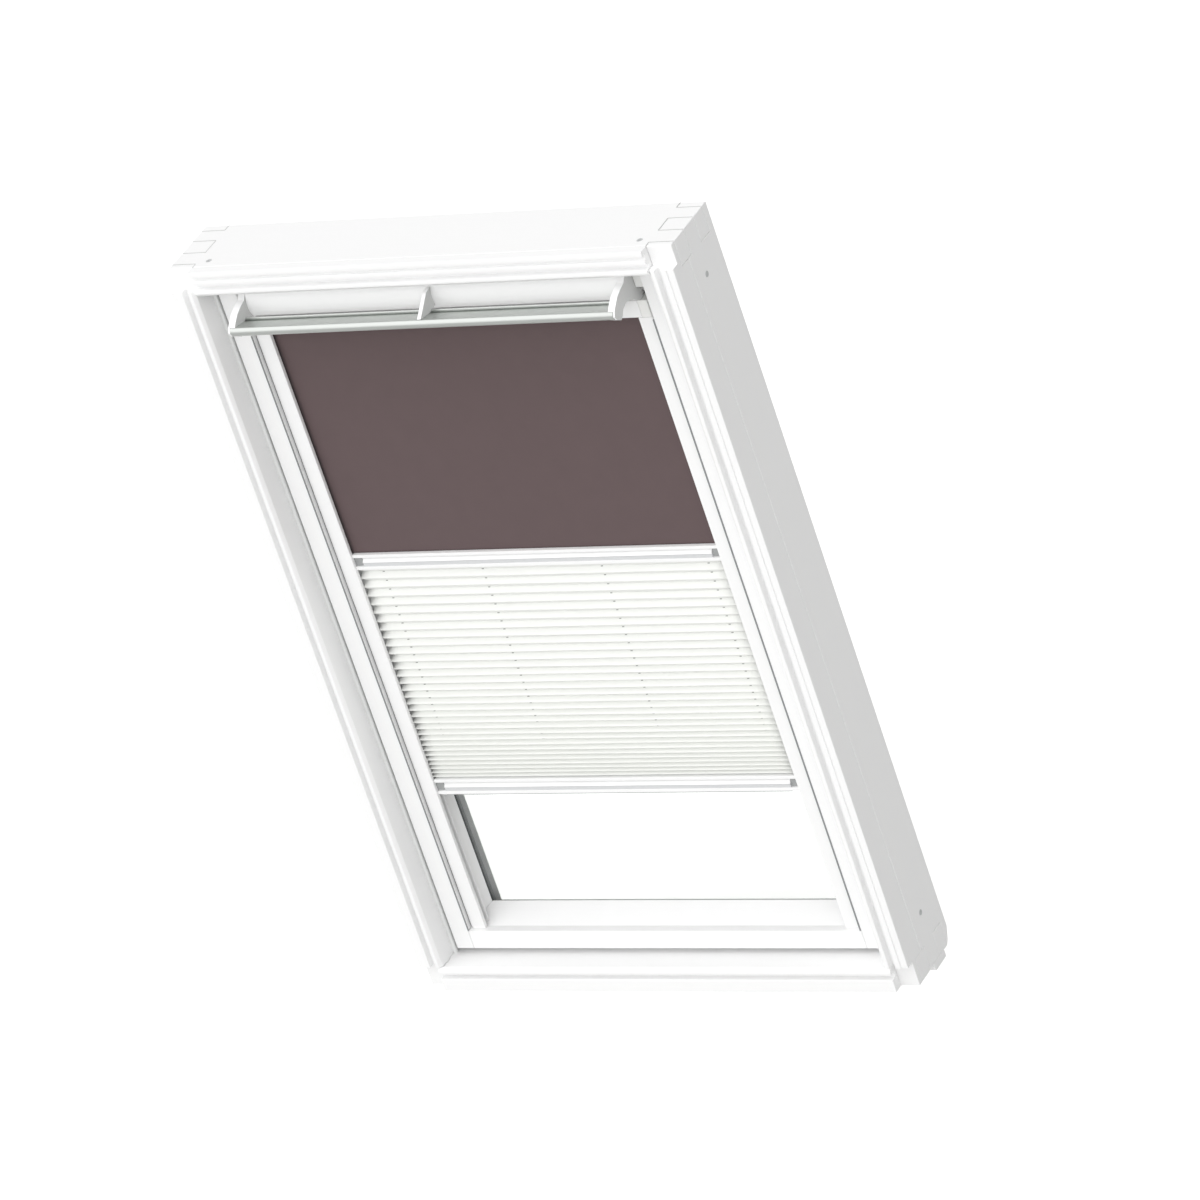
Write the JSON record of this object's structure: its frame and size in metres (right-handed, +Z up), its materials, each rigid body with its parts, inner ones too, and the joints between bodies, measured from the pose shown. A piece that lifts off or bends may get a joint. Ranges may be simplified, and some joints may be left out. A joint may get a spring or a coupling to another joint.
{
  "type": "roof window with built-in blind",
  "caption": "Centre-pivot roof window with white wooden frame and sash, top control bar and vent flap, and a blind of dark cloth above pleated cloth in side channels.",
  "frame": {"origin": "middle of the sill's underside, 30 mm behind the frame's room-side plane", "axes": "+X to the right seen from the room, +Y outwards to the weather side, +Z up the slope of the window"},
  "size_m": [0.78, 0.1551, 1.189],
  "materials": {
    "painted_wood": "white water-based enamel, satin",
    "seal_rubber": "matt extruded seal, light grey",
    "gasket_rubber": "matt black",
    "steel": "zinc plated",
    "screw_steel": "zinc plated",
    "glass": "clear float glass",
    "spacer_aluminium": "mill finish",
    "cladding_aluminium": "grey stoved lacquer",
    "bearing_plastic": "fine moulded grain",
    "white_aluminium": "white powder coat, satin",
    "glide_plastic": "moulded, matt",
    "anodised_aluminium": "satin anodised",
    "dark_cloth": "woven, matt, coated back",
    "pleated_cloth": "thin pleated non-woven"
  },
  "bodies": {
    "frame": {"sill": "painted_wood", "head": "painted_wood", "left_jamb": "painted_wood", "right_jamb": "painted_wood", "drip_rail": "painted_wood", "left_seal": "seal_rubber", "right_seal": "seal_rubber", "head_seal": "seal_rubber", "sill_seal": "seal_rubber", "left_frame_pivot": "steel", "right_frame_pivot": "steel", "striker_plate": "steel", "left_head_screw": "screw_steel", "right_head_screw": "screw_steel", "left_lower_jamb_screw": "screw_steel", "left_upper_jamb_screw": "screw_steel", "right_lower_jamb_screw": "screw_steel", "right_upper_jamb_screw": "screw_steel"},
    "sash": {"bottom_rail": "painted_wood", "top_rail": "painted_wood", "left_stile": "painted_wood", "right_stile": "painted_wood", "inner_pane": "glass", "outer_pane": "glass", "glass_spacer": "spacer_aluminium", "glass_gasket": "gasket_rubber", "left_cladding": "cladding_aluminium", "right_cladding": "cladding_aluminium", "bottom_cladding": "cladding_aluminium", "top_cladding": "cladding_aluminium", "left_sash_pivot": "steel", "right_sash_pivot": "steel", "left_pivot_pin": "steel", "right_pivot_pin": "steel", "lock_case": "steel", "left_flap_bearing": "bearing_plastic", "right_flap_bearing": "bearing_plastic", "left_channel": "white_aluminium", "right_channel": "white_aluminium", "headbox": "white_aluminium", "left_headbox_cap": "bearing_plastic", "right_headbox_cap": "bearing_plastic", "dark_cloth": "dark_cloth"},
    "flap": {"vent_flap": "painted_wood", "control_bar": "anodised_aluminium", "left_flap_bracket": "white_aluminium", "right_flap_bracket": "white_aluminium", "middle_flap_bracket": "white_aluminium"},
    "bolt": {"latch_bolt": "steel"},
    "roller": {"roller_tube": "anodised_aluminium", "left_roller_plug": "bearing_plastic", "right_roller_plug": "bearing_plastic", "cloth_roll": "dark_cloth"},
    "upper_blind_bar": {"upper_bar": "white_aluminium", "left_upper_glide": "glide_plastic", "right_upper_glide": "glide_plastic", "pleated_cloth": "pleated_cloth"},
    "lower_blind_bar": {"lower_bar": "white_aluminium", "left_lower_glide": "glide_plastic", "right_lower_glide": "glide_plastic"}
  },
  "joints": [
    {"name": "sash_pivot", "type": "hinge", "parent": "frame", "child": "sash", "pos_m": [0, 0.044, 0.589], "axis": [-1, 0, 0], "range_deg": [0, 160]},
    {"name": "flap_hinge", "type": "hinge", "parent": "sash", "child": "flap", "pos_m": [0, 0.02, 1.1135], "axis": [1, 0, 0], "range_deg": [0, 30]},
    {"name": "bolt_slide", "type": "slide", "parent": "sash", "child": "bolt", "axis": [0, 0, 1], "range_m": [-0.008, 0]},
    {"name": "upper_bar_slide", "type": "slide", "parent": "sash", "child": "upper_blind_bar", "axis": [0, 0, 1], "range_m": [-0.221, 0.35], "deforming": ["dark_cloth"]},
    {"name": "lower_bar_slide", "type": "slide", "parent": "upper_blind_bar", "child": "lower_blind_bar", "axis": [0, 0, 1], "range_m": [0, 0.3], "deforming": ["pleated_cloth"]},
    {"name": "roller_spin", "type": "hinge", "parent": "sash", "child": "roller", "pos_m": [0, 0.0338, 1.0687], "axis": [1, 0, 0], "range_deg": [-1830, 1160]}
  ],
  "couplings": [
    {"joint": "bolt_slide", "follows": "flap_hinge", "m_per_rad": -0.01527},
    {"joint": "roller_spin", "follows": "upper_bar_slide", "rad_per_m": -90.909}
  ]
}
